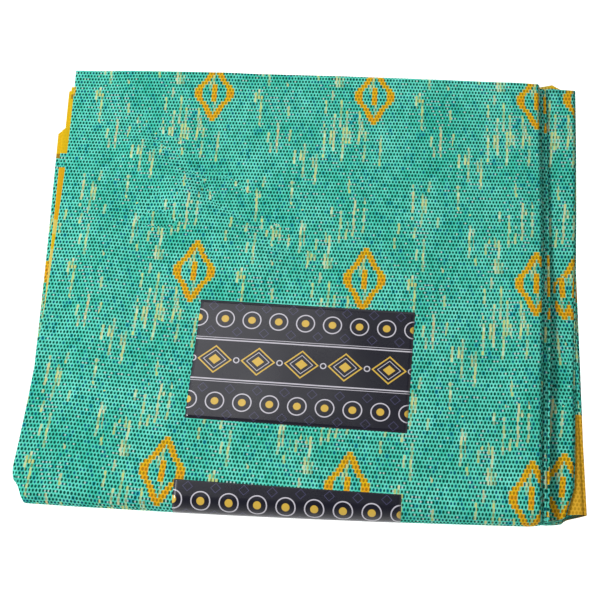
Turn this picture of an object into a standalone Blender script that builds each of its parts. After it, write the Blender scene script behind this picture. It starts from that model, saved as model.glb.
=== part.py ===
"""Folded length of printed cotton cloth with two paper labels stuck on it.

Metres, +Z up. +X runs to the right along the front fold, +Y from the front fold to the back,
and the origin is the middle of the underside.
"""

import math

import bmesh
import bpy

for leftover in list(bpy.data.objects):
    bpy.data.objects.remove(leftover, do_unlink=True)

# Driving dimensions in metres: the folded cloth
MM = 0.001
SHEET = 1.3 * MM            # one modelled layer, which stands for six of the real cloth
BACK_Y = 175.4 * MM         # outside of the farthest fold at the back
HALF_WIDTH = 198.5 * MM
HEIGHT_SWAY = 0.5 * MM      # the stack grows and shrinks by this much from left to right
HEIGHT_TURNS = 2.2          # in radians, from the middle to the right edge
EDGE_SWAY = 0.4 * MM        # each layer's side edges wander by this much
EDGE_TURNS = 7.0            # in radians, from the front to the back
STEP_ALONG = 0.878          # where along the lower layers their left edge steps inwards
STEP_LENGTH = 0.014         # and how long it takes, as a share of their depth

# Driving dimensions in metres: the labels
PAPER = 1.0 * MM
LABEL_WIDTH = 154.0 * MM
LABEL_DEPTH = 91.0 * MM
LABEL_TURN = math.radians(-1.7)
LABEL_GAP = 0.4 * MM        # between the cloth's face and the paper's
TOP_LABEL_CENTRE = (2.1 * MM, -66.0 * MM)
FRONT_LABEL_CENTRE_X = -1.5 * MM
FRONT_LABEL_START = 9.5 * MM        # its upper edge lies this far behind the start of the fold
FRONT_LABEL_END = math.radians(138.0)   # its lower edge goes this far round the fold

# Outside of the front fold at the left, middle and right, in millimetres
FRONT_LINE = (-172.8, -174.5, -171.3)

# Height of the stack from the front fold (0) to the back (1)
HEIGHTS = [
    {"along": 0.00, "height": 18.2 * MM},
    {"along": 0.12, "height": 16.8 * MM},
    {"along": 0.28, "height": 15.0 * MM},
    {"along": 0.50, "height": 14.1 * MM},
    {"along": 0.76, "height": 13.9 * MM},
    {"along": 1.00, "height": 14.5 * MM},
]

# The layers in the order in which the sheet runs through them, from its free end below.
# place counts upwards from the surface. The side edges are given at the front, middle and
# back of each layer, and its back end at the left, middle and right. step is how far the
# left edge jumps inwards near the back. All are in millimetres.
LAYERS = [
    {"place": 0, "left": (-187.5, -191, -197), "right": (184.5, 191, 192),
     "back": (161, 167, 168.5), "step": 6},
    {"place": 7, "left": (-190.8, -186.8, -192), "right": (167.7, 169.2, 168.4),
     "back": (175, 175, 171.6), "step": 0},
    {"place": 6, "left": (-187.5, -186.2, -191.5), "right": (167.5, 168.8, 168),
     "back": (175, 175, 171.6), "step": 0},
    {"place": 1, "left": (-185.5, -192.5, -199), "right": (198.3, 194.5, 192),
     "back": (162.5, 167.5, 169.5), "step": 6},
    {"place": 2, "left": (-185, -194, -201.6), "right": (198.6, 194.2, 193),
     "back": (162.5, 167.5, 169.5), "step": 6.4},
    {"place": 5, "left": (-186, -186.3, -191), "right": (167.5, 168.5, 168),
     "back": (167, 170.5, 170.5), "step": 0},
    {"place": 4, "left": (-186, -190.2, -200.4), "right": (173, 174.8, 173.7),
     "back": (167, 170.5, 170.5), "step": 6.4},
    {"place": 3, "left": (-185.5, -190.5, -199), "right": (190.4, 193.8, 196),
     "back": (162, 168, 172), "step": 6.8},
]
TOP_PLACE = len(LAYERS) - 1

# Where the two front corners draw back: the plan of the front fold is rounded there
FRONT_CORNERS = [
    {"starts": -172 * MM, "width": -19 * MM, "draws_back": 15.0 * MM},
    {"starts": 179 * MM, "width": 14 * MM, "draws_back": 8.5 * MM},
]

# Soft ridges that the uppermost layer stands up in, from one point of the plan to another,
# these points in millimetres
RIDGES = [
    {"start": (-133, 104), "end": (-98, 66), "rise": 1.6 * MM, "half_width": 23 * MM},
    {"start": (-98, 66), "end": (-34, 12), "rise": 1.8 * MM, "half_width": 23 * MM},
    {"start": (-151, 33), "end": (-143, -38), "rise": 1.2 * MM, "half_width": 27 * MM},
    {"start": (-143, 168), "end": (-76, 168), "rise": 1.4 * MM, "half_width": 30 * MM},
]

# How finely the sheet is divided
COLUMNS = 24
EDGE_CROWDING = 0.5         # above 0, the columns stand closer towards the side edges
TOP_ROWS = 21
OUTER_FOLD_STEPS = 12
INNER_FOLD_STEPS = 6


def mix(start, end, part):
    return start + (end - start) * part


def ease(part):
    return part * part * (3 - 2 * part)


def through_three(values, part):
    """Value on a parabola through the values at one end, in the middle and at the other end."""
    start, middle, end = values
    return mix(start, end, part) + (2 * middle - start - end) * 2 * part * (1 - part)


def front_line(x):
    """Outside of the front fold, which draws back at both corners."""
    y = through_three(FRONT_LINE, 0.5 + 0.5 * x / HALF_WIDTH) * MM
    for corner in FRONT_CORNERS:
        part = min(max((x - corner["starts"]) / corner["width"], 0.0), 1.0)
        y += corner["draws_back"] * ease(part)
    return y


def stack_height(along, x):
    """Height of the whole stack above the surface, without the top layer's ridges."""
    along = min(max(along, 0.0), 1.0)
    sway = HEIGHT_SWAY * math.sin(HEIGHT_TURNS * x / HALF_WIDTH + 0.5)
    for lower, upper in zip(HEIGHTS, HEIGHTS[1:]):
        if along <= upper["along"]:
            part = (along - lower["along"]) / (upper["along"] - lower["along"])
            return mix(lower["height"], upper["height"], part) + sway
    return HEIGHTS[-1]["height"] + sway


def fold_centre(x):
    """Where the flat layers end and the nested front folds begin."""
    return front_line(x) + stack_height(0.0, x) / 2


def plan_depth(x):
    """Depth of the flat layers, up to the farthest point of the back."""
    return BACK_Y - fold_centre(x)


def ridge_rise(x, y):
    """How far the uppermost layer stands above the stack under it."""
    rise = 0.0
    for ridge in RIDGES:
        x0, y0 = (value * MM for value in ridge["start"])
        x1, y1 = (value * MM for value in ridge["end"])
        run = (x1 - x0) ** 2 + (y1 - y0) ** 2
        part = min(max(((x - x0) * (x1 - x0) + (y - y0) * (y1 - y0)) / run, 0.0), 1.0)
        away = math.hypot(x - mix(x0, x1, part), y - mix(y0, y1, part)) / ridge["half_width"]
        if away < 1:
            rise = max(rise, ridge["rise"] * (0.5 + 0.5 * math.cos(math.pi * away)))
    return rise


def layer_z(place, x, y):
    """Height of the middle of a layer: each has an even share of the stack."""
    along = (y - fold_centre(x)) / plan_depth(x)
    z = SHEET / 2 + (stack_height(along, x) - SHEET) * place / TOP_PLACE
    if place == TOP_PLACE:
        z += ridge_rise(x, y)
    return z


def edge_x(layer, along, across):
    """Place between a layer's left and right edges, which wander a little."""
    sway = EDGE_SWAY * math.sin(EDGE_TURNS * along + 1.9 * layer["place"])
    past_step = min(max((along - STEP_ALONG) / STEP_LENGTH, 0.0), 1.0)
    left = through_three(layer["left"], along) * MM + sway + layer["step"] * MM * past_step
    right = through_three(layer["right"], along) * MM - sway
    return mix(left, right, across)


def back_y(layer, across):
    return through_three(layer["back"], across) * MM


def flat_point(layer, along, across):
    """A point of a flat layer, from the front fold (0) to its back end (1)."""
    x = edge_x(layer, along, across)
    back_bend = stack_height(1.0, x) / TOP_PLACE / 2 + SHEET / 2
    y = mix(fold_centre(x), back_y(layer, across) - back_bend, along)
    return (x, y, layer_z(layer["place"], x, y))


def fold_point(first, second, along, turn, across):
    """A point of the fold that joins two layers at the front (along 0) or back (along 1)."""
    x = mix(edge_x(first, along, across), edge_x(second, along, across), ease(turn))
    start = flat_point(first, along, across)
    end = flat_point(second, along, across)
    centre_y = fold_centre(x) if along == 0 else mix(start[1], end[1], turn)
    start_z = layer_z(first["place"], x, centre_y)
    end_z = layer_z(second["place"], x, centre_y)
    radius = (start_z - end_z) / 2
    outwards = -1 if along == 0 else 1
    y = centre_y + outwards * abs(radius) * math.sin(math.pi * turn)
    z = (start_z + end_z) / 2 + radius * math.cos(math.pi * turn)
    return (x, y, z)


def column_places():
    """Places across the sheet, closer together towards its side edges."""
    places = []
    for column in range(COLUMNS + 1):
        even = column / COLUMNS
        places.append(even - EDGE_CROWDING * math.sin(2 * math.pi * even) / (2 * math.pi))
    return places


def row_places():
    """Every row along the sheet, as a function that gives its points across."""
    rows = []
    heads_back = False
    for number, layer in enumerate(LAYERS):
        stations = [step["along"] for step in HEIGHTS]
        if layer["place"] == TOP_PLACE:
            stations = sorted(set(stations + [row / TOP_ROWS for row in range(TOP_ROWS + 1)]))
        if layer["step"]:
            stations = sorted(stations + [STEP_ALONG, STEP_ALONG + STEP_LENGTH])
        if not heads_back:
            stations = stations[::-1]
        for along in stations:
            rows.append(lambda across, layer=layer, along=along: flat_point(layer, along, across))
        if number + 1 == len(LAYERS):
            break
        following = LAYERS[number + 1]
        fold_along = 1.0 if heads_back else 0.0
        reach = abs(layer["place"] - following["place"])
        steps = OUTER_FOLD_STEPS if reach == TOP_PLACE else INNER_FOLD_STEPS
        for step in range(1, steps):
            turn = step / steps
            rows.append(
                lambda across, a=layer, b=following, along=fold_along, turn=turn:
                fold_point(a, b, along, turn, across)
            )
        heads_back = not heads_back
    return rows


def new_material(name, colour, roughness):
    material = bpy.data.materials.new(name)
    material.use_nodes = True
    shader = material.node_tree.nodes["Principled BSDF"]
    shader.inputs["Base Color"].default_value = (*colour, 1.0)
    shader.inputs["Roughness"].default_value = roughness
    shader.inputs["Metallic"].default_value = 0.0
    material.diffuse_color = (*colour, 1.0)
    return material


def sheet_object(name, columns, rows, place_point, thickness, material):
    """A flat grid whose points are carried to their folded places, then given a thickness."""
    shape = bmesh.new()
    bmesh.ops.create_grid(shape, x_segments=columns, y_segments=rows, size=0.5)
    for point in shape.verts:
        column = round((point.co.x + 0.5) * columns)
        row = round((point.co.y + 0.5) * rows)
        point.co = place_point(column, row)
    bmesh.ops.recalc_face_normals(shape, faces=shape.faces)
    mesh = bpy.data.meshes.new(name)
    shape.to_mesh(mesh)
    shape.free()
    mesh.shade_smooth()
    mesh.materials.append(material)
    piece = bpy.data.objects.new(name, mesh)
    collection.objects.link(piece)
    wall = piece.modifiers.new("thickness", "SOLIDIFY")
    wall.thickness = thickness
    wall.offset = 0.0
    return piece


def upper_face(x, y, lift):
    """A point this far above the middle of the uppermost layer."""
    return (x, y, layer_z(TOP_PLACE, x, y) + lift)


def round_the_front(x, path, lift):
    """A point over the uppermost layer and its front fold, path being the way past the fold's start."""
    centre_y = fold_centre(x)
    if path <= 0:
        return upper_face(x, centre_y - path, lift)
    radius = (stack_height(0.0, x) - SHEET) / 2
    angle = path / radius
    y = centre_y - (radius + lift) * math.sin(angle)
    z = SHEET / 2 + radius + (radius + lift) * math.cos(angle)
    return (x, y, z)


collection = bpy.data.collections.new("folded_kente_cloth")
bpy.context.scene.collection.children.link(collection)

# The cloth: one sheet, run back and forth through its layers
across_places = column_places()
rows_along = row_places()
sheet_object(
    "cloth",
    COLUMNS,
    len(rows_along) - 1,
    lambda column, row: rows_along[row](across_places[column]),
    SHEET,
    new_material("printed_cotton", (0.045, 0.36, 0.31), 0.85),
)

# The labels: glossy dark paper on the uppermost layer
LIFT = SHEET / 2 + LABEL_GAP + PAPER / 2
LABEL_COLUMNS = 12
LABEL_ROWS = 12


def top_label_point(column, row):
    along_width = (column / LABEL_COLUMNS - 0.5) * LABEL_WIDTH
    along_depth = (row / LABEL_ROWS - 0.5) * LABEL_DEPTH
    x = TOP_LABEL_CENTRE[0] + along_width * math.cos(LABEL_TURN) - along_depth * math.sin(LABEL_TURN)
    y = TOP_LABEL_CENTRE[1] + along_width * math.sin(LABEL_TURN) + along_depth * math.cos(LABEL_TURN)
    return upper_face(x, y, LIFT)


def front_label_point(column, row):
    along_width = (column / LABEL_COLUMNS - 0.5) * LABEL_WIDTH
    x = FRONT_LABEL_CENTRE_X + along_width * math.cos(LABEL_TURN)
    upper_edge = -FRONT_LABEL_START - along_width * math.sin(LABEL_TURN)
    lower_edge = FRONT_LABEL_END * (stack_height(0.0, x) - SHEET) / 2
    return round_the_front(x, mix(upper_edge, lower_edge, row / LABEL_ROWS), LIFT)


sheet_object(
    "label_top", LABEL_COLUMNS, LABEL_ROWS, top_label_point, PAPER,
    new_material("label_paper_top", (0.012, 0.016, 0.035), 0.25),
)
sheet_object(
    "label_front", LABEL_COLUMNS, LABEL_ROWS, front_label_point, PAPER,
    new_material("label_paper_front", (0.012, 0.016, 0.035), 0.25),
)
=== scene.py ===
import math

import bmesh
import bpy
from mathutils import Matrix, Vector, noise


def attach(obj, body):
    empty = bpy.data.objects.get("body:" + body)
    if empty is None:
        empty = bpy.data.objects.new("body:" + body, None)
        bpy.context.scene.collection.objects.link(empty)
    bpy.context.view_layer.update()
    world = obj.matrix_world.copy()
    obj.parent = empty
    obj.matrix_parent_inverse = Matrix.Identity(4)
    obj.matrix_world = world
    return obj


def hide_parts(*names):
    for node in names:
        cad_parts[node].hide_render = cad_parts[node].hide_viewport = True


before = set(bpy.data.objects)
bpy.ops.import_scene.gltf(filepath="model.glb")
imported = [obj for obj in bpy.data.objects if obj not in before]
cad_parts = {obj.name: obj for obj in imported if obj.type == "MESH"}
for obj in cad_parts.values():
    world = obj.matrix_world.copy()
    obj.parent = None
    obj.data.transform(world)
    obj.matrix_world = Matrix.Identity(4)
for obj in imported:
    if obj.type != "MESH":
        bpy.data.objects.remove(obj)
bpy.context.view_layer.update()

# The view: a camera held above the front of the folded cloth, turned a little to the left,
# with a lens long enough to keep its sides nearly parallel.
CAMERA_PLACE = (0.07747, -0.40706, 0.89126)
CAMERA_TURN_DEGREES = (24.233, 3.487, 3.821)
CAMERA_LENS_MM = 80.54
CAMERA_SENSOR_MM = 36.0

camera = bpy.data.objects.new("camera", bpy.data.cameras.new("camera"))
camera.data.lens = CAMERA_LENS_MM
camera.data.sensor_width = CAMERA_SENSOR_MM
camera.location = CAMERA_PLACE
camera.rotation_euler = [math.radians(angle) for angle in CAMERA_TURN_DEGREES]
bpy.context.collection.objects.link(camera)
bpy.context.scene.camera = camera
bpy.context.scene.view_settings.view_transform = "Standard"


# The table: a plain white top, which the cloth lies on. It isn't part of the object.
MM = 0.001
FLOOR_HALF = 3.0
FLOOR_DROP = 0.2 * MM
FLOOR_COLOUR = (0.93, 0.93, 0.93)


def link_mesh(name, shape):
    """A new object from a finished bmesh, smooth shaded, with its place in its mesh."""
    mesh = bpy.data.meshes.new(name)
    shape.to_mesh(mesh)
    shape.free()
    mesh.shade_smooth()
    piece = bpy.data.objects.new(name, mesh)
    bpy.context.collection.objects.link(piece)
    return piece


def plain_shader(name, roughness):
    """A new material, its node tree and its Principled shader."""
    material = bpy.data.materials.new(name)
    material.use_nodes = True
    shader = material.node_tree.nodes["Principled BSDF"]
    shader.inputs["Roughness"].default_value = roughness
    return material, material.node_tree, shader


floor_shape = bmesh.new()
bmesh.ops.create_grid(floor_shape, x_segments=1, y_segments=1, size=FLOOR_HALF)
bmesh.ops.translate(floor_shape, verts=floor_shape.verts, vec=(0, 0, -FLOOR_DROP))
floor = link_mesh("floor", floor_shape)
floor_material, _, floor_shader = plain_shader("white_top", 0.9)
floor_shader.inputs["Base Color"].default_value = (*FLOOR_COLOUR, 1)
floor.data.materials.append(floor_material)


# The light: a large soft lamp on the left, a weak one behind, and a room that is white all
# round and darker overhead, so that the glossy labels reflect little from above. The table has
# a lamp of its own, which the cloth casts no shadow from, so that the ground stays pale.
LAMPS = [
    {"name": "key", "place": (-2.05, 0.25, 1.95), "size": 0.65, "watts": 80.0, "lights": "cloth"},
    {"name": "back", "place": (-0.60, 0.95, 1.90), "size": 0.80, "watts": 5.0, "lights": "cloth"},
    {"name": "table", "place": (-0.4, 0.2, 2.4), "size": 1.6, "watts": 78.0, "lights": "table"},
]
ROOM_STRENGTH = {"level": 0.95, "overhead": 0.12}

for lamp in LAMPS:
    light = bpy.data.lights.new(lamp["name"], "AREA")
    light.shape = "SQUARE"
    light.size = lamp["size"]
    light.energy = lamp["watts"]
    holder = bpy.data.objects.new(lamp["name"], light)
    holder.location = lamp["place"]
    holder.rotation_euler = (-Vector(lamp["place"])).to_track_quat("-Z", "Y").to_euler()
    bpy.context.collection.objects.link(holder)
    lit = bpy.data.collections.new(lamp["name"] + "_lights")
    lit.objects.link(floor)
    holder.light_linking.receiver_collection = lit
    if lamp["lights"] == "table":
        holder.light_linking.blocker_collection = lit
    else:
        lit.collection_objects[0].light_linking.link_state = "EXCLUDE"

room = bpy.data.worlds.new("white_room")
room.use_nodes = True
bpy.context.scene.world = room
room_tree = room.node_tree
room_background = room_tree.nodes["Background"]
room_background.inputs["Color"].default_value = (1, 1, 1, 1)
direction = room_tree.nodes.new("ShaderNodeTexCoord")
upwards = room_tree.nodes.new("ShaderNodeSeparateXYZ")
room_shade = room_tree.nodes.new("ShaderNodeMapRange")
room_shade.inputs["To Min"].default_value = ROOM_STRENGTH["level"]
room_shade.inputs["To Max"].default_value = ROOM_STRENGTH["overhead"]
room_tree.links.new(direction.outputs["Generated"], upwards.inputs[0])
room_tree.links.new(upwards.outputs["Z"], room_shade.inputs["Value"])
room_tree.links.new(room_shade.outputs["Result"], room_background.inputs["Strength"])


# How the cloth lies: one length of thin printed cotton, 1.13 m wide and 5.49 m long. It is
# folded in three across its width, then run back and forth in sixteen lengths, which fold as
# pairs round the front, one pair inside the next.
CLOTH_THICKNESS = 0.16 * MM
RUNS = 16
PANELS = 3
TOP_RUN = RUNS - 1
FRONT_LINE = (-172.8, -174.5, -171.3)   # outside of the front fold at left, middle and right
FRONT_Y = FRONT_LINE[1] * MM
BACK_Y = 175.4 * MM
HALF_WIDTH = 198.5 * MM

# Height of the stack from the front fold (0) to the back (1)
HEIGHTS = [
    {"along": 0.00, "height": 18.2 * MM},
    {"along": 0.12, "height": 16.8 * MM},
    {"along": 0.28, "height": 15.0 * MM},
    {"along": 0.50, "height": 14.1 * MM},
    {"along": 0.76, "height": 13.9 * MM},
    {"along": 1.00, "height": 14.5 * MM},
]
HEIGHT_SWAY = 0.5 * MM
HEIGHT_TURNS = 2.2
HEIGHT_START = 0.5

# Side edges of each two runs, counted from below, at the front, middle and back, and their
# back ends at the left, middle and right, all in millimetres. step is how far the left edge
# jumps inwards near the back.
EDGES = [
    {"left": (-187.5, -191, -197), "right": (184.5, 191, 192),
     "back": (161, 167, 168.5), "step": 5},
    {"left": (-185.5, -192.5, -199), "right": (198.3, 194.5, 192),
     "back": (162, 167, 169.5), "step": 5},
    {"left": (-185, -194, -201.6), "right": (198.6, 194.2, 193),
     "back": (163, 168, 169.5), "step": 5.2},
    {"left": (-185.5, -190.5, -199), "right": (190, 193.6, 196),
     "back": (162, 168, 172), "step": 5.4},
    {"left": (-186, -190.2, -200.4), "right": (173, 174.8, 173.7),
     "back": (163.5, 170, 170.5), "step": 5.2},
    {"left": (-186, -186.3, -191), "right": (167.5, 168.5, 168),
     "back": (169, 171, 170.5), "step": 0},
    {"left": (-187.5, -186.2, -191.5), "right": (167.5, 168.8, 168),
     "back": (173, 174, 170.6), "step": 0},
    {"left": (-190.8, -186.8, -192), "right": (167.7, 169.2, 168.4),
     "back": (175.4, 175.3, 171.8), "step": 0},
]
STEP_ALONG = 0.878          # where along the run the steps are, and how long they take
STEP_LENGTH = 0.014
BACK_BULGES = [             # where a back fold sticks out, counted from below like the edges
    {"fold": 2, "x": 180 * MM, "half_width": 10 * MM, "by": 8.5 * MM},
    {"fold": 3, "x": 178 * MM, "half_width": 12 * MM, "by": 1.6 * MM},
]
EDGE_SWAY = 0.4 * MM
EDGE_TURNS = 7.0
EDGE_SHIFT = 1.9            # in radians from one pair of runs to the next
STRAY = 0.6 * MM            # each hidden run strays this much from its pair's edge
STRAY_TURNS = 2.4
SELVEDGE_INSET = 1.6 * MM   # a free selvedge stops this far inside the bends above and below it
LEDGE_RUN = 7               # the run that shows as a ledge along the right side
BEND_BULGE = 0.45 * MM

FRONT_CORNERS = [
    {"starts": -181.5 * MM, "width": -9 * MM, "draws_back": 14.5 * MM},
    {"starts": 160 * MM, "width": 14 * MM, "draws_back": 1.6 * MM},
    {"starts": 182 * MM, "width": 6 * MM, "draws_back": 4.6 * MM},
]

# Past the right edge of the upper runs the front folds are flatter, and where a fold joins two
# runs of unlike widths, its side edge passes from one to the other low down
LEDGE_FOLD = {"starts": 166 * MM, "width": 7 * MM, "depth": 3.2 * MM}
FOLD_SWEEP = 0.4
LEDGE_ROUNDING = {"draws_in": 6 * MM, "along": 0.08}    # the ledge's own corner at the front

# The two runs above the ledge stand up beside the upper ones, most of all near the front
STRIP = {"starts": 167.0 * MM, "width": 3.0 * MM, "rise": 5.0 * MM, "fades": 0.45, "least": 0.2}

# The runs under the ledge and the ledge itself sink in along its middle, in millimetres
LEDGE_DIP = {"start": (185, 2), "end": (184, -72), "rise": -2.4, "half_width": 25}

# Soft ridges and troughs of the uppermost run, from one point of the plan to another, all in
# millimetres
CREASES = [
    {"start": (-133, 104), "end": (-98, 66), "rise": 1.5, "half_width": 23},
    {"start": (-98, 66), "end": (-34, 12), "rise": 1.7, "half_width": 23},
    {"start": (-151, 33), "end": (-143, -38), "rise": 1.1, "half_width": 27},
    {"start": (-143, 168), "end": (-76, 168), "rise": 1.2, "half_width": 30},
    {"start": (-135, 128), "end": (-68, 76), "rise": -1.1, "half_width": 19},
    {"start": (-68, 76), "end": (12, 8), "rise": -1.0, "half_width": 18},
    {"start": (-176, -20), "end": (-168, -95), "rise": -0.6, "half_width": 16},
    {"start": (96, 60), "end": (128, -60), "rise": -0.5, "half_width": 30},
    {"start": (150, 165), "end": (158, -150), "rise": 0.5, "half_width": 16},
    {"start": (164, 8), "end": (164, -80), "rise": 0.9, "half_width": 15},
]
RIPPLE = 0.22 * MM          # small unevenness all over, and how wide its waves are
RIPPLE_WIDTH = 34 * MM
SETTLE = 1.5                # a crease fades downwards through the stack by this power
BUNCH = 0.008               # runs lie in looser and tighter bunches, by this share of the height
BUNCHES = 5.0
BUNCH_DRIFT = 9.0           # in radians over the depth of the stack
BUNCH_SLANT = 4.0           # in radians over half its width


def mix(start, end, part):
    return start + (end - start) * part


def ease(part):
    return part * part * (3 - 2 * part)


def through_three(values, part):
    """Value on a parabola through front, middle and back values."""
    front, middle, back = values
    return mix(front, back, part) + (2 * middle - front - back) * 2 * part * (1 - part)


def front_line(x):
    """Outside of the front fold, which draws back at both corners."""
    y = through_three(FRONT_LINE, 0.5 + 0.5 * x / HALF_WIDTH) * MM
    for corner in FRONT_CORNERS:
        part = min(max((x - corner["starts"]) / corner["width"], 0.0), 1.0)
        y += corner["draws_back"] * ease(part)
    return y


def height_slope(index):
    before = HEIGHTS[max(index - 1, 0)]
    after = HEIGHTS[min(index + 1, len(HEIGHTS) - 1)]
    return (after["height"] - before["height"]) / (after["along"] - before["along"])


def stack_height(along, x):
    """Height of the whole stack, on a smooth curve through the table."""
    along = min(max(along, 0.0), 1.0)
    sway = HEIGHT_SWAY * math.sin(HEIGHT_TURNS * x / HALF_WIDTH + HEIGHT_START)
    for index, (lower, upper) in enumerate(zip(HEIGHTS, HEIGHTS[1:])):
        if along <= upper["along"]:
            break
    gap = upper["along"] - lower["along"]
    part = (along - lower["along"]) / gap
    start_pull = height_slope(index) * gap * part * (1 - part) ** 2
    end_pull = -height_slope(index + 1) * gap * part * part * (1 - part)
    return mix(lower["height"], upper["height"], ease(part)) + start_pull + end_pull + sway


def fold_depth(x):
    """How far the outermost front fold stands out past the ends of the flat runs."""
    part = min(max((x - LEDGE_FOLD["starts"]) / LEDGE_FOLD["width"], 0.0), 1.0)
    return mix(stack_height(0.0, x) / 2, LEDGE_FOLD["depth"], ease(part))


def fold_centre(x):
    """Where the flat runs end and the nested front folds begin."""
    return front_line(x) + fold_depth(x)


def rounded_rise(crease, x, y):
    """How far one crease lifts the cloth at a place: most along its line, none past its edge."""
    x0, y0 = (value * MM for value in crease["start"])
    x1, y1 = (value * MM for value in crease["end"])
    run = (x1 - x0) ** 2 + (y1 - y0) ** 2
    part = min(max(((x - x0) * (x1 - x0) + (y - y0) * (y1 - y0)) / run, 0.0), 1.0)
    away = math.hypot(x - mix(x0, x1, part), y - mix(y0, y1, part)) / (crease["half_width"] * MM)
    return crease["rise"] * MM * (0.5 + 0.5 * math.cos(math.pi * min(away, 1.0)))


def crease_rise(x, y):
    """How far the uppermost run stands above or below an even stack."""
    rise = RIPPLE * noise.noise(Vector((x, y, 0)) / RIPPLE_WIDTH)
    return rise + sum(rounded_rise(crease, x, y) for crease in CREASES)


def facing(run):
    """1 for a run whose first panel lies uppermost, -1 for one that lies the other way up."""
    return 1 if run % 2 else -1


def cloth_z(run, panel, x, y):
    """Height of a run's panel, from 1 for its first panel, through 0, to -1 for its third."""
    centre_y = fold_centre(x)
    along = (y - centre_y) / (BACK_Y - centre_y)
    share = (run + 0.5 + facing(run) * panel / PANELS) / RUNS
    phase = 2 * math.pi * BUNCHES * share + BUNCH_DRIFT * along
    wave = math.sin(phase + BUNCH_SLANT * x / HALF_WIDTH)
    bunched = share + BUNCH * math.sin(math.pi * share) * wave
    z = bunched * stack_height(along, x) + crease_rise(x, y) * share ** SETTLE
    if run <= LEDGE_RUN:
        z += rounded_rise(LEDGE_DIP, x, y) * share * RUNS / LEDGE_RUN
    elif run <= LEDGE_RUN + 2:
        beside = ease(min(max((x - STRIP["starts"]) / STRIP["width"], 0.0), 1.0))
        near = 1 - ease(min(max(along, 0.0) / STRIP["fades"], 1.0))
        z += STRIP["rise"] * beside * mix(STRIP["least"], 1.0, near)
    return z


def side_edges(run, along, column):
    """Left and right edge of a run, for the panel that a column belongs to."""
    row = EDGES[run // 2]
    wander = EDGE_SWAY * math.sin(EDGE_TURNS * along + EDGE_SHIFT * (run // 2))
    left = through_three(row["left"], along) * MM + wander
    right = through_three(row["right"], along) * MM - wander
    past_step = min(max((along - STEP_ALONG) / STEP_LENGTH, 0.0), 1.0)
    left += row["step"] * MM * ease(past_step)
    if run // 2 == LEDGE_RUN // 2:
        right -= LEDGE_ROUNDING["draws_in"] * max(1 - along / LEDGE_ROUNDING["along"], 0.0) ** 2
    if run in (TOP_RUN, LEDGE_RUN):
        right -= SELVEDGE_INSET if column["panel"] < 1 else 0.0
        left += SELVEDGE_INSET if column["panel"] == -1 else 0.0
    else:
        stray = STRAY * math.sin(STRAY_TURNS * run)
        left += stray + (SELVEDGE_INSET if column["panel"] == -1 else 0.0)
        right += stray - (SELVEDGE_INSET if column["panel"] == 1 else 0.0)
    return left, right


def back_end(run, across):
    """Where a run's back fold begins, or where the cloth ends."""
    fold = run // 2 if run >= LEDGE_RUN else (run + 1) // 2
    y = through_three(EDGES[fold]["back"], across) * MM - stack_height(1.0, 0.0) / RUNS
    x = mix(EDGES[fold]["left"][2], EDGES[fold]["right"][2], across) * MM
    for bulge in BACK_BULGES:
        away = min(abs(x - bulge["x"]) / bulge["half_width"], 1.0)
        if bulge["fold"] == fold:
            y += bulge["by"] * (0.5 + 0.5 * math.cos(math.pi * away))
    return y


def column_x(run, along, column):
    left, right = side_edges(run, along, column)
    return mix(left, right, column["across"]) + column["bulge"] * BEND_BULGE


def run_point(run, along, column):
    x = column_x(run, along, column)
    y = mix(fold_centre(x), back_end(run, column["across"]), along)
    return Vector((x, y, cloth_z(run, column["panel"], x, y)))


def fold_point(first, second, end, turn, column):
    """A point of the fold that joins two runs at the front (end 0) or the back (end 1)."""
    swept = turn
    if end == 0 and first < second:
        swept = min(turn / FOLD_SWEEP, 1.0)
    elif end == 0:
        swept = max(1 - (1 - turn) / FOLD_SWEEP, 0.0)
    ends = [column_x(run, end, column) for run in (first, second)]
    x = mix(*ends, ease(swept))
    centre_y = fold_centre(x) if end == 0 else back_end(first, column["across"])
    start_z = cloth_z(first, column["panel"], x, centre_y)
    end_z = cloth_z(second, column["panel"], x, centre_y)
    radius = (start_z - end_z) / 2
    reach = -2 * fold_depth(x) / stack_height(0.0, x) if end == 0 else 1.0
    y = centre_y + reach * abs(radius) * math.sin(math.pi * turn)
    return Vector((x, y, (start_z + end_z) / 2 + radius * math.cos(math.pi * turn)))


# The print's repeat: 52 dots by 52 rows, each row half a dot aside of the next, with one
# diamond in it. The streaks stand in clusters, placed from the diamond's middle.
DOT_PITCH = 2.413 * MM
ROW_PITCH = 2.894 * MM
REPEAT = 52
PRINT_SKEW = 0.014
DIAMOND_X = 42.1 * MM
DIAMOND_Y = 4.2 * MM
CLUSTERS = [
    {"dots": -8, "rows": 23, "wide": 2.2, "long": 7, "weight": 1.0},
    {"dots": -3, "rows": 14, "wide": 2.0, "long": 8, "weight": 0.9},
    {"dots": -14, "rows": 10, "wide": 3.0, "long": 7, "weight": 0.7},
    {"dots": 22, "rows": -7, "wide": 4.0, "long": 7, "weight": 0.7},
    {"dots": -13, "rows": -9, "wide": 4.0, "long": 9, "weight": 0.6},
    {"dots": -22, "rows": -24, "wide": 4.5, "long": 8, "weight": 0.8},
    {"dots": -3, "rows": -8, "wide": 3.0, "long": 6, "weight": 0.7},
    {"dots": -10, "rows": -5, "wide": 3.0, "long": 7, "weight": 0.7},
    {"dots": 16, "rows": 17, "wide": 3.0, "long": 7, "weight": 0.9},
    {"dots": -4, "rows": -13, "wide": 3.0, "long": 6, "weight": 0.6},
    {"dots": 15, "rows": -2, "wide": 5.0, "long": 7, "weight": 0.5},
]

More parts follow.
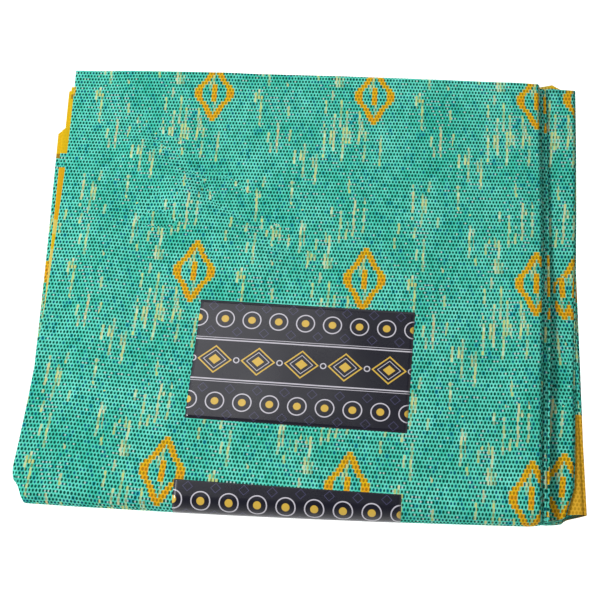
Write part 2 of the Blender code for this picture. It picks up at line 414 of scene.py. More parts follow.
# How far the print is pulled out of true where its diamonds lie, in millimetres: to the right
# (u) and backwards (v). On the top run it is given at the left, middle and right diamonds, and
# on the ledge at the front, middle and back ones.
LEDGE_PULLS = {"u": (17.4, 26.6, 32.9), "v": (0.7, -0.5, 6.4)}
STRIP_SHIFT = 40.0 * MM     # of the print on the two runs just above the ledge
PULL_X = (-84.0 * MM, 168.0 * MM)
PULL_Y = (-143.0 * MM, 153.0 * MM)
PULL_PAST = {"left": 0.3, "front": 0.1, "far": 1.1}     # how far the pulls run on past these
PULLS = [
    {"at": "front", "u": (-1.8, -1.0, -4.1), "v": (-3.7, -9.2, -9.9)},
    {"at": "middle", "u": (2.1, 1.0, -2.0), "v": (-1.2, -3.5, -2.5)},
    {"at": "back", "u": (1.1, -0.4, -3.0), "v": (0.4, 0.6, -0.4)},
]


def pull(axis, run, x, y):
    """How far the print of a run is pulled along one axis at a place."""
    across = (x - PULL_X[0]) / (PULL_X[1] - PULL_X[0])
    across = min(max(across, -PULL_PAST["left"]), PULL_PAST["far"])
    along = (y - PULL_Y[0]) / (PULL_Y[1] - PULL_Y[0])
    along = min(max(along, -PULL_PAST["front"]), PULL_PAST["far"])
    if run <= LEDGE_RUN:
        return through_three(LEDGE_PULLS[axis], along) * MM
    strip = STRIP_SHIFT if axis == "u" and run <= LEDGE_RUN + 2 else 0.0
    return through_three([through_three(row[axis], across) for row in PULLS], along) * MM + strip


def wrapped(value):
    return (value + REPEAT / 2) % REPEAT - REPEAT / 2


def streak_density(u, v):
    """How thickly the streaks stand at a place of the print."""
    dots = (u - PRINT_SKEW * v - DIAMOND_X) / DOT_PITCH
    rows = (v - DIAMOND_Y) / ROW_PITCH
    total = 0.0
    for cluster in CLUSTERS:
        away = (wrapped(dots - cluster["dots"]) / cluster["wide"]) ** 2
        away += (wrapped(rows - cluster["rows"]) / cluster["long"]) ** 2
        total += cluster["weight"] * math.exp(-away)
    return min(total, 1.0)


# The printed cotton: a thin plain weave. Dark dots cover a turquoise ground, streaks of pale
# gold break them, and golden diamonds are printed over both.
COTTON = {
    "ground": (0.045, 0.5, 0.365),
    "ground_light": (0.18, 0.76, 0.63),
    "ground_blue": (0.03, 0.42, 0.44),
    "dot": (0.0, 0.066, 0.045),
    "dot_blue": (0.0, 0.08, 0.12),
    "streak_gold": (0.53, 0.57, 0.17),
    "streak_pink": (0.68, 0.48, 0.26),
    "streak_pale": (0.62, 0.68, 0.42),
    "speck": (0.56, 0.56, 0.55),
    "diamond": (0.69, 0.44, 0.008),
    "diamond_red": (0.72, 0.29, 0.012),
    "diamond_dot": (0.33, 0.17, 0.003),
    "border_yellow": (0.64, 0.41, 0.008),
    "border_pale": (0.64, 0.49, 0.11),
    "border_orange": (0.66, 0.33, 0.006),
    "border_brown": (0.3, 0.17, 0.012),
    "border_amber": (0.64, 0.36, 0.028),
}

# Sizes are in cells of a dot, and the rest are chances and covers from 0 to 1
DOT = {"half_width": 0.37, "half_height": 0.43, "smallest": 0.86, "spread": 0.22,
       "outside": 1.15, "inside": 0.75}
STREAK = {"half_width": 0.36, "outside": 0.1, "inside": 0.12, "sway": 0.32,
          "cover": 0.18, "cover_spread": 0.85, "gap_below": 0.05}
SPECK = {"seed": 7.0, "alone": 0.975, "in_streaks": -0.38, "outside": 0.32, "inside": 0.10,
         "cover": 0.8}
TINTS = {"light_spread": 0.6, "clouds": 26.0, "cloud_middle": 0.45, "blue_ground": 0.95,
         "blue_dot": 0.88, "gold_cover": 0.92}
STREAKS = [
    {"slot": 26.0, "shortest": 8.0, "longest": 21.0, "least": 0.07, "most": 0.58, "seed": 11.0},
    {"slot": 13.0, "shortest": 2.0, "longest": 9.0, "least": 0.06, "most": 0.50, "seed": 31.0},
]

# The diamond's outline: from its middle row outwards, how many dots its outer and inner
# edges lie from its middle. An inner edge below 0 leaves no hole.
DIAMOND_STEPS = [
    {"rows": 0, "outer": 6.4, "inner": 3.9},
    {"rows": 2, "outer": 5.6, "inner": 3.5},
    {"rows": 3, "outer": 4.5, "inner": 2.4},
    {"rows": 4, "outer": 3.5, "inner": 1.6},
    {"rows": 5, "outer": 2.9, "inner": 0.9},
    {"rows": 6, "outer": 2.4, "inner": 0.2},
    {"rows": 7, "outer": 1.7, "inner": -1.0},
    {"rows": 8, "outer": 0.9, "inner": -1.0},
    {"rows": 9, "outer": -1.0, "inner": -1.0},
]
DIAMOND_CHART_ROWS = 10.0
DIAMOND_CHART_DOTS = 8.0
DIAMOND_BAR = {"dots": 0.85, "rows": 2.6}
DIAMOND_EDGE = 0.2          # half the width of its edges' softness, in dots
THREAD_PITCH = 0.45 * MM


def feed(tree, socket, value):
    """Links a socket to another one, or sets it to a number or a colour."""
    if isinstance(value, bpy.types.NodeSocket):
        tree.links.new(value, socket)
    else:
        socket.default_value = (*value, 1) if isinstance(value, tuple) else value


def maths(tree, operation, *values, clamp=False):
    """The result of one Math node, from sockets or numbers."""
    node = tree.nodes.new("ShaderNodeMath")
    node.operation = operation
    node.use_clamp = clamp
    for socket, value in zip(node.inputs, values):
        feed(tree, socket, value)
    return node.outputs[0]


def times(tree, first, second):
    return maths(tree, "MULTIPLY", first, second)


def minus(tree, first, second):
    return maths(tree, "SUBTRACT", first, second)


def times_plus(tree, first, second, added, clamp=False):
    return maths(tree, "MULTIPLY_ADD", first, second, added, clamp=clamp)


def blend(tree, part, first, second):
    """The first colour where part is 0 and the second where it is 1."""
    node = tree.nodes.new("ShaderNodeMix")
    node.data_type = "RGBA"
    for number, value in ((0, part), (6, first), (7, second)):
        feed(tree, node.inputs[number], value)
    return node.outputs[2]


def soft_step(tree, value, low, high):
    """0 below low and 1 above high, or the other way round, with a smooth change between."""
    node = tree.nodes.new("ShaderNodeMapRange")
    node.interpolation_type = "SMOOTHSTEP"
    tree.links.new(value, node.inputs["Value"])
    node.inputs["From Min"].default_value = low
    node.inputs["From Max"].default_value = high
    return node.outputs["Result"]


def vector_of(tree, *parts):
    node = tree.nodes.new("ShaderNodeCombineXYZ")
    for socket, value in zip(node.inputs, parts):
        feed(tree, socket, value)
    return node.outputs[0]


def speckle(tree, vector):
    """A random number and colour for each whole step of a vector."""
    node = tree.nodes.new("ShaderNodeTexWhiteNoise")
    node.noise_dimensions = "3D"
    tree.links.new(vector, node.inputs["Vector"])
    return node.outputs["Value"], node.outputs["Color"]


def cloud(tree, vector, scale, detail=0.0):
    """Smooth noise over a vector, about 0.5 on average."""
    node = tree.nodes.new("ShaderNodeTexNoise")
    tree.links.new(vector, node.inputs["Vector"])
    node.inputs["Scale"].default_value = scale
    node.inputs["Detail"].default_value = detail
    return node.outputs["Fac"]


def own_attribute(tree, name):
    node = tree.nodes.new("ShaderNodeAttribute")
    node.attribute_name = name
    return node.outputs["Fac"]


def uv_metres(tree, name):
    """The two coordinates of a UV map."""
    uv = tree.nodes.new("ShaderNodeUVMap")
    uv.uv_map = name
    parts = tree.nodes.new("ShaderNodeSeparateXYZ")
    tree.links.new(uv.outputs["UV"], parts.inputs[0])
    return parts.outputs[0], parts.outputs[1], uv.outputs["UV"]


cotton, tree, shader = plain_shader("printed_cotton", 0.8)
u, v, cloth_uv = uv_metres(tree, "cloth")
straight_u = minus(tree, u, times(tree, v, PRINT_SKEW))
dots_u = maths(tree, "DIVIDE", minus(tree, straight_u, DIAMOND_X), DOT_PITCH)
rows_v = maths(tree, "DIVIDE", minus(tree, v, DIAMOND_Y), ROW_PITCH)


def in_repeat(tree, value):
    return maths(tree, "FLOORED_MODULO", value, float(REPEAT))


def off_middle(tree, value):
    """How far a value lies from the middle of its whole step."""
    return minus(tree, maths(tree, "FRACT", value), 0.5)


def split(tree, colour):
    """The three parts of a colour."""
    node = tree.nodes.new("ShaderNodeSeparateColor")
    tree.links.new(colour, node.inputs[0])
    return node.outputs[:3]


# Cells of the dots, every other row half a dot aside
row = maths(tree, "FLOOR", rows_v)
odd = maths(tree, "FLOORED_MODULO", row, 2.0)
aside = times_plus(tree, odd, 0.5, dots_u)
column = maths(tree, "FLOOR", aside)
cell_x = off_middle(tree, aside)
cell_y = off_middle(tree, rows_v)
own_row = in_repeat(tree, row)
own_column = in_repeat(tree, column)
chance_a, chance_b, chance_c = split(tree, speckle(tree, vector_of(tree, own_column, own_row))[1])


def length_of(tree, x, y):
    return maths(tree, "SQRT", times_plus(tree, x, x, times(tree, y, y)))


dot_away = length_of(tree, maths(tree, "DIVIDE", cell_x, DOT["half_width"]),
                     maths(tree, "DIVIDE", cell_y, DOT["half_height"]))
dot_size = times_plus(tree, chance_a, DOT["spread"], DOT["smallest"])
dot = soft_step(tree, maths(tree, "DIVIDE", dot_away, dot_size), DOT["outside"], DOT["inside"])

# Streaks keep to columns of one dot, and shift a little from row to row
row_number = speckle(tree, vector_of(tree, 3.0, own_row))[0]
row_number = minus(tree, row_number, 0.5)
streak_u = times_plus(tree, row_number, STREAK["sway"], dots_u)
streak_column = maths(tree, "FLOOR", streak_u)
streak_x = maths(tree, "ABSOLUTE", off_middle(tree, streak_u))
own_streak = in_repeat(tree, streak_column)
streak_side = soft_step(tree, streak_x, STREAK["half_width"] + STREAK["outside"],
                        STREAK["half_width"] - STREAK["inside"])
density = own_attribute(tree, "streaks")


def streak_layer(tree, slot, shortest, longest, least, most, seed):
    """Where the streaks of one kind are, at most one in each slot of a column, and their tint."""
    moves = speckle(tree, vector_of(tree, own_streak, 0.0, seed))[0]
    moved = maths(tree, "FLOOR", times(tree, moves, slot))
    moved_row = in_repeat(tree, maths(tree, "ADD", own_row, moved))
    own_slot = maths(tree, "FLOOR", maths(tree, "DIVIDE", moved_row, slot))
    within = maths(tree, "FLOORED_MODULO", moved_row, slot)
    chance, colour = speckle(tree, vector_of(tree, own_streak, own_slot, seed + 1.0))
    size, tint, _ = split(tree, colour)
    rows = times_plus(tree, size, longest - shortest, shortest)
    share = times_plus(tree, density, most - least, least)
    here = times(tree, maths(tree, "LESS_THAN", chance, share),
                 maths(tree, "LESS_THAN", within, rows))
    return here, tint


here, streak_tint = streak_layer(tree, **STREAKS[0])
short_here = streak_layer(tree, **STREAKS[1])[0]
here = maths(tree, "MAXIMUM", here, short_here)
streak_cover = times_plus(tree, chance_b, STREAK["cover_spread"], STREAK["cover"], clamp=True)
streak_cover = times(tree, streak_cover,
                     maths(tree, "GREATER_THAN", chance_b, STREAK["gap_below"]))
streak = times(tree, times(tree, here, streak_side), streak_cover)

# Pale specks between the dots, most of them near the streaks
gap_u = maths(tree, "ADD", aside, 0.5)
gap_away = length_of(tree, off_middle(tree, gap_u), cell_y)
gap_column = in_repeat(tree, maths(tree, "FLOOR", gap_u))
gap_number = speckle(tree, vector_of(tree, gap_column, own_row, SPECK["seed"]))[0]
speck_bar = times_plus(tree, density, SPECK["in_streaks"], SPECK["alone"])
speck = times(tree, maths(tree, "GREATER_THAN", gap_number, speck_bar),
              soft_step(tree, gap_away, SPECK["outside"], SPECK["inside"]))

# Diamonds, stepped from row to row
from_row = maths(tree, "ABSOLUTE", maths(tree, "WRAP", row, REPEAT / 2, -REPEAT / 2))
from_u = maths(tree, "ABSOLUTE", maths(tree, "WRAP", dots_u, REPEAT / 2, -REPEAT / 2))
from_v = maths(tree, "ABSOLUTE", maths(
    tree, "WRAP", minus(tree, rows_v, 0.5), REPEAT / 2, -REPEAT / 2))


def constant_chart(tree, value, stops):
    """A colour ramp that keeps each colour and its cover until the next stop."""
    node = tree.nodes.new("ShaderNodeValToRGB")
    node.color_ramp.interpolation = "CONSTANT"
    tree.links.new(value, node.inputs[0])
    for number, (position, colour, cover) in enumerate(stops):
        if number < 2:
            stop = node.color_ramp.elements[number]
            stop.position = position
        else:
            stop = node.color_ramp.elements.new(position)
        stop.color = (*colour, cover)
    return node.outputs["Color"], node.outputs["Alpha"]


diamond_chart = constant_chart(
    tree, maths(tree, "DIVIDE", maths(tree, "ADD", from_row, 0.5), DIAMOND_CHART_ROWS),
    [(step["rows"] / DIAMOND_CHART_ROWS,
      ((step["outer"] + 1) / DIAMOND_CHART_DOTS, (step["inner"] + 1) / DIAMOND_CHART_DOTS, 0), 1)
     for step in DIAMOND_STEPS])[0]
outer_edge, inner_edge = (times_plus(tree, part, DIAMOND_CHART_DOTS, -1.0)
                          for part in split(tree, diamond_chart)[:2])
ring = times(tree, soft_step(tree, minus(tree, from_u, outer_edge), DIAMOND_EDGE, -DIAMOND_EDGE),
             soft_step(tree, minus(tree, from_u, inner_edge), -DIAMOND_EDGE, DIAMOND_EDGE))
bar = times(tree, maths(tree, "LESS_THAN", from_u, DIAMOND_BAR["dots"]),
            maths(tree, "LESS_THAN", from_v, DIAMOND_BAR["rows"]))
diamond = maths(tree, "MAXIMUM", ring, bar)

# Blocks of the border, which only the runs inside the stack show at their left and right
border = own_attribute(tree, "border")
border_along = own_attribute(tree, "border_along")

tone = minus(tree, cloud(tree, cloth_uv, TINTS["clouds"]), TINTS["cloud_middle"])
tone = times_plus(tree, chance_c, TINTS["light_spread"], tone, clamp=True)
ground = blend(tree, tone, COTTON["ground"], COTTON["ground_light"])
ground = blend(tree, maths(tree, "GREATER_THAN", chance_a, TINTS["blue_ground"]),
               ground, COTTON["ground_blue"])
dot_tint = blend(tree, maths(tree, "GREATER_THAN", chance_b, TINTS["blue_dot"]),
                 COTTON["dot"], COTTON["dot_blue"])
printed = blend(tree, dot, ground, dot_tint)
printed = blend(tree, times(tree, speck, SPECK["cover"]), printed, COTTON["speck"])
gold = blend(tree, soft_step(tree, streak_tint, 0.75, 1.1), COTTON["streak_gold"],
             COTTON["streak_pink"])
gold = blend(tree, maths(tree, "POWER", chance_c, 1.6), gold, COTTON["streak_pale"])
printed = blend(tree, times(tree, streak, TINTS["gold_cover"]), printed, gold)
amber = blend(tree, maths(tree, "POWER", chance_c, 3.0), COTTON["diamond"],
              COTTON["diamond_red"])
amber = blend(tree, dot, amber, COTTON["diamond_dot"])
printed = blend(tree, diamond, printed, amber)

# Each of the border's three charts runs from the front to the back, block after block; from
# is the block's front end in millimetres
BORDER_CHARTS = [
    [   # the layers that stick out farthest at the left
        {"from": -200, "colour": "ground"},
        {"from": 97, "colour": "border_brown"},
        {"from": 101, "colour": "border_yellow"},
    ],
    [   # the layers just inside them
        {"from": -200, "colour": "ground"},
        {"from": -30, "colour": "border_pale"},
        {"from": 18, "colour": "border_yellow"},
        {"from": 32, "colour": "border_pale"},
        {"from": 43, "colour": "border_orange"},
        {"from": 89, "colour": "ground"},
        {"from": 101, "colour": "border_yellow"},
        {"from": 152, "colour": "border_brown"},
        {"from": 156, "colour": "border_yellow"},
    ],
    [   # the layers under the ledge at the right
        {"from": -200, "colour": "border_amber"},
        {"from": -93, "colour": "ground"},
        {"from": 165, "colour": "border_yellow"},
    ],
]
BORDER_DOTS = {"cover": 0.15, "more_there": 0.5}    # the dots show most under the ledge


def chart_place(number, y):
    """A place on one of the three charts, each of which takes a third of a ramp."""
    return (number + min(max((y - FRONT_Y) / (BACK_Y - FRONT_Y), 0.0), 0.999)) / len(BORDER_CHARTS)


border_colour, border_cover = constant_chart(tree, border_along, [
    (chart_place(number, block["from"] * MM), COTTON[block["colour"]], block["colour"] != "ground")
    for number, blocks in enumerate(BORDER_CHARTS) for block in blocks])
under_ledge = maths(tree, "GREATER_THAN", border_along, 2 / len(BORDER_CHARTS))
border_dots = times(tree, dot, times_plus(
    tree, under_ledge, BORDER_DOTS["more_there"], BORDER_DOTS["cover"]))
border_colour = blend(tree, border_dots, border_colour, COTTON["diamond_dot"])
printed = blend(tree, times(tree, border, border_cover), printed, border_colour)
tree.links.new(printed, shader.inputs["Base Color"])

# The weave, as fine bumps, and the printed gold a little smoother than the rest
WEAVE = {"threads": 0.25, "fuzz_scale": 900.0, "fuzz_detail": 2.0, "strength": 0.5,
         "height": 0.06 * MM, "roughness": 0.82, "gold_smoother": -0.2}
threads = [maths(tree, "SINE", times(tree, axis, 2 * math.pi / THREAD_PITCH))
           for axis in (u, v)]
weave = maths(tree, "ADD", *threads)
fuzz = cloud(tree, cloth_uv, WEAVE["fuzz_scale"], WEAVE["fuzz_detail"])


def add_bump(tree, shader, height, strength, distance):
    """Fine relief, from a height over the surface."""
    bump = tree.nodes.new("ShaderNodeBump")
    bump.inputs["Strength"].default_value = strength
    bump.inputs["Distance"].default_value = distance
    tree.links.new(height, bump.inputs["Height"])
    tree.links.new(bump.outputs["Normal"], shader.inputs["Normal"])


add_bump(tree, shader, times_plus(tree, weave, WEAVE["threads"], fuzz),
         WEAVE["strength"], WEAVE["height"])
roughness = times_plus(tree, maths(tree, "MAXIMUM", streak, diamond),
                       WEAVE["gold_smoother"], WEAVE["roughness"])
tree.links.new(roughness, shader.inputs["Roughness"])
shader.inputs["Specular IOR Level"].default_value = 0.05
shader.inputs["Sheen Weight"].default_value = 0.006
shader.inputs["Sheen Roughness"].default_value = 0.6


# The outer turn of the cloth: the bottom run, the round front fold, the top run with its soft
# creases, and the fold at the back that leads into the stack.
OUTER_COLUMNS = {"first": 96, "others": 20, "bend": 4, "crowding": 0.45}
BOTTOM_ROWS = 14
FRONT_FOLD_ROWS = 24
TOP_ROWS = 80
BACK_FOLD_ROWS = 8
STUB_ROWS = 3
STUB_LENGTH = 0.1           # of the depth, that the outer turn reaches back into the stack
BACK_FOLD_PRINT = 0.8 * math.pi * MM    # of the print, that goes round the fold at the back


def bend_columns(count, side, above, below):
    """Columns round a side bend, between two panels: side is 0 at the left and 1 at the right."""
    outwards = 1 if side else -1
    columns = []
    for step in range(1, count):
        turn = math.pi * step / count
        columns.append({
            "across": float(side),
            "panel": mix(above, below, (1 - math.cos(turn)) / 2),
            "bulge": outwards * math.sin(turn),
        })
    return columns


def sheet_columns(first, others, bend, crowding=0.0):
    """Columns of the cloth from its free right selvedge, across three panels, to its left one."""
    columns = []
    for panel, count, start in ((1, first, 1.0), (0, others, 0.0), (-1, others, 1.0)):
        for step in range(count + 1):
            even = step / count
            across = even - crowding * math.sin(2 * math.pi * even) / (2 * math.pi)
            columns.append({"across": abs(start - across), "panel": panel, "bulge": 0.0})
        if panel == 1:
            columns += bend_columns(bend, 0, 1, 0)
        if panel == 0:
            columns += bend_columns(bend, 1, 0, -1)
    return columns


def panel_u(column, place, run):
    """The print's coordinate across the cloth: it runs on from panel to panel."""
    left = EDGES[TOP_RUN // 2]["left"][1] * MM
    right = EDGES[TOP_RUN // 2]["right"][1] * MM
    x = place.x
    shift = pull("u", run, x, place.y)
    if column["panel"] > 0.5:
        return x - shift
    if column["panel"] > -0.5:
        return 2 * left - x - shift
    return x + 2 * (left - right) - shift


def make_cloth(name, columns, rows):
    """A flat grid whose points are carried to their folded places, given a thickness."""
    shape = bmesh.new()
    bmesh.ops.create_grid(shape, x_segments=len(columns) - 1, y_segments=len(rows) - 1, size=0.5)
    print_map = shape.loops.layers.uv.new("cloth")
    bake_map = shape.loops.layers.uv.new("OFBake")
    streak_layer = shape.verts.layers.float.new("streaks")
    border_layer = shape.verts.layers.float.new("border")
    along_layer = shape.verts.layers.float.new("border_along")
    printed_at = {}
    baked_at = {}
    for point in shape.verts:
        column = columns[round((point.co.x + 0.5) * (len(columns) - 1))]
        row = rows[round((point.co.y + 0.5) * (len(rows) - 1))]
        place = row["place"](column)
        u = panel_u(column, place, row["run"])
        v = row["print"](place, column) - pull("v", row["run"], place.x, place.y)
        point.co = place
        printed_at[point] = (u, v)
        baked_at[point] = (column["bake"], row["bake"])
        point[streak_layer] = streak_density(u, v)
        point[border_layer], point[along_layer] = row["border"](place, column)
    for face in shape.faces:
        for loop in face.loops:
            loop[print_map].uv = printed_at[loop.vert]
            loop[bake_map].uv = baked_at[loop.vert]
    bmesh.ops.recalc_face_normals(shape, faces=shape.faces)
    piece = link_mesh(name, shape)
    piece.data.materials.append(cotton)
    wall = piece.modifiers.new("thickness", "SOLIDIFY")
    wall.thickness = CLOTH_THICKNESS
    wall.offset = 0.0
    return piece


def share_out(items, weight):
    """Gives every item its place from 0 to 1 on the baked map, wider where weight is more."""
    total = sum(weight(item) for item in items[1:])
    reached = 0.0
    for number, item in enumerate(items):
        reached += weight(item) if number else 0.0
        item["bake"] = reached / total
    return items


def no_border(place, column):
    return 0.0, 0.0


def add_row(rows, run, share, place, printed, border=no_border):
    """One row of points across the cloth, with the functions that place and print each."""
    rows.append({"run": run, "share": share, "place": place, "print": printed, "border": border})


def front_print(x):
    """How much of the print goes round the front fold."""
    return math.pi * stack_height(0.0, x) / 2


def outer_rows():
    rows = []
    for step in range(BOTTOM_ROWS):
        along = 1 - step / BOTTOM_ROWS
        add_row(rows, 0, 0.1, lambda column, along=along: run_point(0, along, column),
                lambda place, column: 2 * fold_centre(place.x) - place.y - front_print(place.x))
    for step in range(FRONT_FOLD_ROWS + 1):
        turn = step / FRONT_FOLD_ROWS
        add_row(rows, TOP_RUN, 0.35,
                lambda column, turn=turn: fold_point(0, TOP_RUN, 0, turn, column),
                lambda place, column, turn=turn: (
                    fold_centre(place.x) - (1 - turn) * front_print(place.x)))
    for step in range(1, TOP_ROWS):
        along = step / TOP_ROWS
        add_row(rows, TOP_RUN, 1.0, lambda column, along=along: run_point(TOP_RUN, along, column),
                lambda place, column: place.y)
    for step in range(BACK_FOLD_ROWS + 1):
        turn = step / BACK_FOLD_ROWS
        add_row(rows, TOP_RUN, 0.25,
                lambda column, turn=turn: fold_point(TOP_RUN, TOP_RUN - 1, 1, turn, column),
                lambda place, column, turn=turn: (
                    back_end(TOP_RUN, column["across"]) + turn * BACK_FOLD_PRINT))
    for step in range(1, STUB_ROWS + 1):
        along = 1 - STUB_LENGTH * step / STUB_ROWS
        add_row(rows, TOP_RUN - 1, 0.1,
                lambda column, along=along: run_point(TOP_RUN - 1, along, column),
                lambda place, column: (
                    2 * back_end(TOP_RUN, column["across"]) - place.y + BACK_FOLD_PRINT))
    return share_out(rows, lambda row: row["share"])


outer_columns = share_out(
    sheet_columns(**OUTER_COLUMNS),
    lambda column: 1.0 if column["panel"] == 1 else 0.12,
)
outer = make_cloth("cloth_outer_turn", outer_columns, outer_rows())
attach(outer, "root")
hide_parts("cloth")


# The inner turns: the rest of the same length, run back and forth inside the outer turn. Its
# edges show down both sides, and its end lies as the ledge along the right.
INNER_COLUMNS = {"first": 34, "others": 8, "bend": 4, "crowding": 0.8}
RUN_ROWS = 18
INNER_FRONT_ROWS = 8
INNER_BACK_ROWS = 5
BORDER_SHARE = 0.055        # of a run's width at each side, on which the border shows
BORDERED_RUNS = [
    {"runs": range(0, 6), "left": 0, "right": 2},
    {"runs": range(6, 10), "left": 1, "right": None},
]


def inner_border(run):
    """How much of the border a point shows, and its place on the border's charts."""
    def shown(place, column):
        side = "left" if column["across"] < 0.5 else "right"
        near = min(column["across"], 1 - column["across"]) < BORDER_SHARE
        for row in BORDERED_RUNS:
            if run in row["runs"] and row[side] is not None:
                return (1.0 if near else 0.0), chart_place(row[side], place.y)
        return 0.0, 0.0
    return shown


def run_order():
    """The runs in the order in which the cloth goes through them."""
    order = []
    for pair in range(RUNS // 2):
        both = [pair, TOP_RUN - pair]
        order += both if pair % 2 == 0 else both[::-1]
    return order


def run_stations():
    """Places along a run, with one more on either side of the step in its left edge."""
    even = [step / RUN_ROWS for step in range(RUN_ROWS + 1)]
    return sorted(even + [STEP_ALONG - STEP_LENGTH / 4, STEP_ALONG + STEP_LENGTH])


def inner_rows():
    rows = []
    order = run_order()[2:]
    for number, run in enumerate(order):
        heads_back = facing(run) > 0
        stations = run_stations() if heads_back else run_stations()[::-1]
        if number == 0:
            stations = [(1 - STUB_LENGTH) * along for along in stations]
        for along in stations:
            add_row(rows, run, 5.0 if run == LEDGE_RUN else 0.4,
                    lambda column, run=run, along=along: run_point(run, along, column),
                    lambda place, column, run=run: facing(run) * place.y, inner_border(run))
        if number + 1 == len(order):
            break
        following = order[number + 1]
        end = 1 if heads_back else 0
        steps = INNER_BACK_ROWS if heads_back else INNER_FRONT_ROWS
        for step in range(1, steps):
            turn = step / steps
            add_row(rows, run, 0.3,
                    lambda column, a=run, b=following, end=end, turn=turn: (
                        fold_point(a, b, end, turn, column)),
                    lambda place, column, run=run: facing(run) * place.y,
                    no_border if end == 0 else inner_border(run))
    return share_out(rows, lambda row: row["share"])


inner_columns = share_out(
    sheet_columns(**INNER_COLUMNS),
    lambda column: 3.0 if column["panel"] == 1 and column["across"] > 0.9 else 0.6,
)
inner = make_cloth("cloth_inner_turns", inner_columns, inner_rows())
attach(inner, "root")
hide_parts("cloth")


# The labels: two printed papers with a glossy dark face, stuck on with a thin film of glue.
# One lies flat on the top run and the other goes over its front fold.
LABEL_WIDTH = 154.0 * MM
LABEL_DEPTH = 91.0 * MM
LABEL_TURN = math.radians(-1.7)
LABEL_PAPER = 0.12 * MM
LABEL_GLUE = 0.06 * MM
TOP_LABEL_CENTRE = (2.1 * MM, -66.0 * MM)
FRONT_LABEL_CENTRE_X = -1.5 * MM
FRONT_LABEL_START = 9.5 * MM
FRONT_LABEL_END = math.radians(145.0)
LABEL_COLUMNS = 60
LABEL_ROWS = 36
LABEL_LIFT = CLOTH_THICKNESS / 2 + LABEL_GLUE + LABEL_PAPER / 2

INK = {
    "navy": (0.006, 0.006, 0.014),
    "cream": (0.52, 0.5, 0.56),
    "gold": (0.6, 0.39, 0.05),
    "slate": (0.05, 0.048, 0.11),
}

paper, tree, shader = plain_shader("label_paper", 0.3)
label_u, label_v, label_uv = uv_metres(tree, "label")


def stripe(tree, value, centre, half_width, soft=0.12 * MM):
    """A line where value is near centre."""
    away = maths(tree, "ABSOLUTE", minus(tree, value, centre))
    return soft_step(tree, away, half_width + soft, half_width - soft)


def repeated(tree, value, pitch, start=0.0):
    """Distance from the middle of the nearest of many equal steps."""
    moved = minus(tree, value, start)
    return maths(tree, "WRAP", moved, pitch / 2, -pitch / 2)


def taxicab(tree, x, y, flatter=1.0):
    """Distance round a lozenge, which is wider than high where flatter is above 1."""
    return times_plus(tree, maths(tree, "ABSOLUTE", y), flatter, maths(tree, "ABSOLUTE", x))


BAND_HALF = 15.0 * MM       # the plain band along the middle of the label
RING_PITCH = 19.25 * MM
RING_ROW = 31.5 * MM        # from the label's middle to the middle of a row of rings
RING = {"centre": 6.4 * MM, "half_width": 0.42 * MM}
SEED = {"outside": 2.9 * MM, "inside": 2.5 * MM}
CRUMB = {"centre": 3.4 * MM, "half_width": 0.3 * MM}
LOZENGE_PITCH = 30.8 * MM
from_middle = maths(tree, "ABSOLUTE", label_v)
in_field = maths(tree, "GREATER_THAN", from_middle, BAND_HALF + 2.6 * MM)
in_band = maths(tree, "LESS_THAN", from_middle, BAND_HALF - 1.0 * MM)

# Rings with gold middles, in a row above the band and one below it
ring_x = repeated(tree, label_u, RING_PITCH)
ring_y = minus(tree, from_middle, RING_ROW)
ring_away = length_of(tree, ring_x, ring_y)
rings = times(tree, stripe(tree, ring_away, **RING), in_field)
seeds = times(tree, soft_step(tree, ring_away, SEED["outside"], SEED["inside"]), in_field)
half_x = repeated(tree, label_u, RING_PITCH, RING_PITCH / 2)
half_y = minus(tree, maths(tree, "ABSOLUTE", ring_y), RING_PITCH / 2)
crumbs = times(tree, stripe(tree, taxicab(tree, half_x, half_y), **CRUMB), in_field)

# A chain of long lozenges in the band, with a small ring between each two
lozenge_x = repeated(tree, label_u, LOZENGE_PITCH)
lozenge_away = taxicab(tree, lozenge_x, label_v, 1.15)
lozenges = stripe(tree, lozenge_away, 11.6 * MM, 0.75 * MM)
lozenges = maths(tree, "MAXIMUM", lozenges, soft_step(tree, lozenge_away, 4.6 * MM, 4.2 * MM))
fine_lozenges = stripe(tree, lozenge_away, 8.0 * MM, 0.35 * MM)
between_x = repeated(tree, label_u, LOZENGE_PITCH, LOZENGE_PITCH / 2)
between_away = length_of(tree, between_x, label_v)
beads = stripe(tree, between_away, 1.9 * MM, 0.4 * MM)
lines = maths(tree, "MAXIMUM", stripe(tree, from_middle, BAND_HALF, 0.45 * MM),
              stripe(tree, from_middle, BAND_HALF + 1.7 * MM, 0.22 * MM))

cream_ink = maths(tree, "MAXIMUM", maths(tree, "MAXIMUM", rings, lines),
                  times(tree, maths(
                          tree, "MAXIMUM", fine_lozenges, beads), in_band))
gold_ink = maths(tree, "MAXIMUM", seeds, times(tree, lozenges, in_band))
ink = blend(tree, crumbs, INK["navy"], INK["slate"])
ink = blend(tree, cream_ink, ink, INK["cream"])
ink = blend(tree, gold_ink, ink, INK["gold"])
tree.links.new(ink, shader.inputs["Base Color"])
GLOSS = {"waves": 38.0, "detail": 3.0, "roughness": 0.2, "spread": 0.16,
         "strength": 0.35, "height": 0.25 * MM}
waver = cloud(tree, label_uv, GLOSS["waves"], GLOSS["detail"])
roughness = times_plus(tree, waver, GLOSS["spread"], GLOSS["roughness"])
tree.links.new(roughness, shader.inputs["Roughness"])
add_bump(tree, shader, waver, GLOSS["strength"], GLOSS["height"])
shader.inputs["Specular IOR Level"].default_value = 0.4
shader.inputs["Coat Weight"].default_value = 0.3
shader.inputs["Coat Roughness"].default_value = 0.12


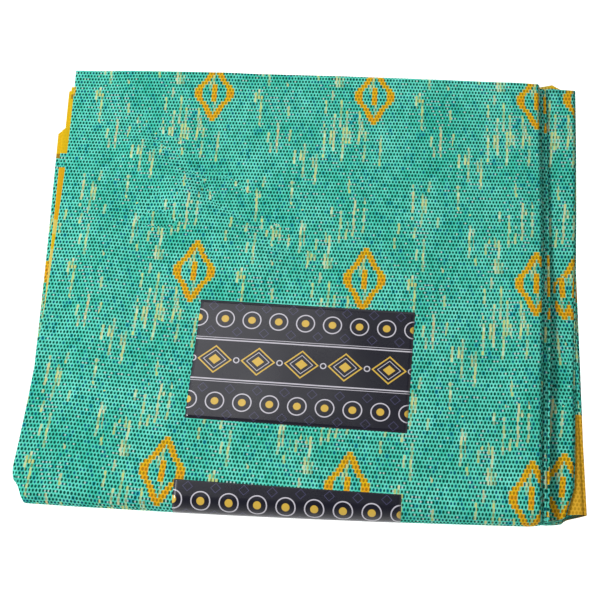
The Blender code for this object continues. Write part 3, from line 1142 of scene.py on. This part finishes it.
def over_the_top(x, y, lift):
    """A point above the upper face of the top run, or round its front fold."""
    centre_y = fold_centre(x)
    if y >= centre_y:
        return Vector((x, y, cloth_z(TOP_RUN, 1, x, y) + lift))
    top = cloth_z(TOP_RUN, 1, x, centre_y)
    bottom = cloth_z(0, 1, x, centre_y)
    radius = (top - bottom) / 2
    angle = (centre_y - y) / radius
    return Vector((
        x,
        centre_y - (radius + lift) * math.sin(angle),
        bottom + radius + (radius + lift) * math.cos(angle),
    ))


def make_label(name, place_point):
    """A fine grid laid on the cloth, its own map in metres from the label's middle."""
    shape = bmesh.new()
    bmesh.ops.create_grid(shape, x_segments=LABEL_COLUMNS, y_segments=LABEL_ROWS, size=0.5)
    ink_map = shape.loops.layers.uv.new("label")
    printed_at = {}
    for point in shape.verts:
        across = point.co.x * LABEL_WIDTH
        up = point.co.y * LABEL_DEPTH
        point.co, printed_at[point] = place_point(across, up)
    for face in shape.faces:
        for loop in face.loops:
            loop[ink_map].uv = printed_at[loop.vert]
    bmesh.ops.recalc_face_normals(shape, faces=shape.faces)
    piece = link_mesh(name, shape)
    piece.data.materials.append(paper)
    wall = piece.modifiers.new("thickness", "SOLIDIFY")
    wall.thickness = LABEL_PAPER
    wall.offset = 0.0
    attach(piece, "root")
    return piece


def on_the_top(across, up):
    x = TOP_LABEL_CENTRE[0] + across * math.cos(LABEL_TURN) - up * math.sin(LABEL_TURN)
    y = TOP_LABEL_CENTRE[1] + across * math.sin(LABEL_TURN) + up * math.cos(LABEL_TURN)
    return over_the_top(x, y, LABEL_LIFT), (across, up)


def round_the_fold(across, up):
    """The second label's upper edge lies on the top run, and the rest goes down the fold."""
    x = FRONT_LABEL_CENTRE_X + across * math.cos(LABEL_TURN)
    centre_y = fold_centre(x)
    upper = centre_y + FRONT_LABEL_START + across * math.sin(LABEL_TURN)
    lower = centre_y - FRONT_LABEL_END * stack_height(0.0, x) / 2
    y = mix(lower, upper, up / LABEL_DEPTH + 0.5)
    return over_the_top(x, y, LABEL_LIFT), (across, LABEL_DEPTH / 2 + y - upper)


top_label = make_label("label_on_top", on_the_top)
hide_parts("label_top")
front_label = make_label("label_round_front", round_the_fold)
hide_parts("label_front")
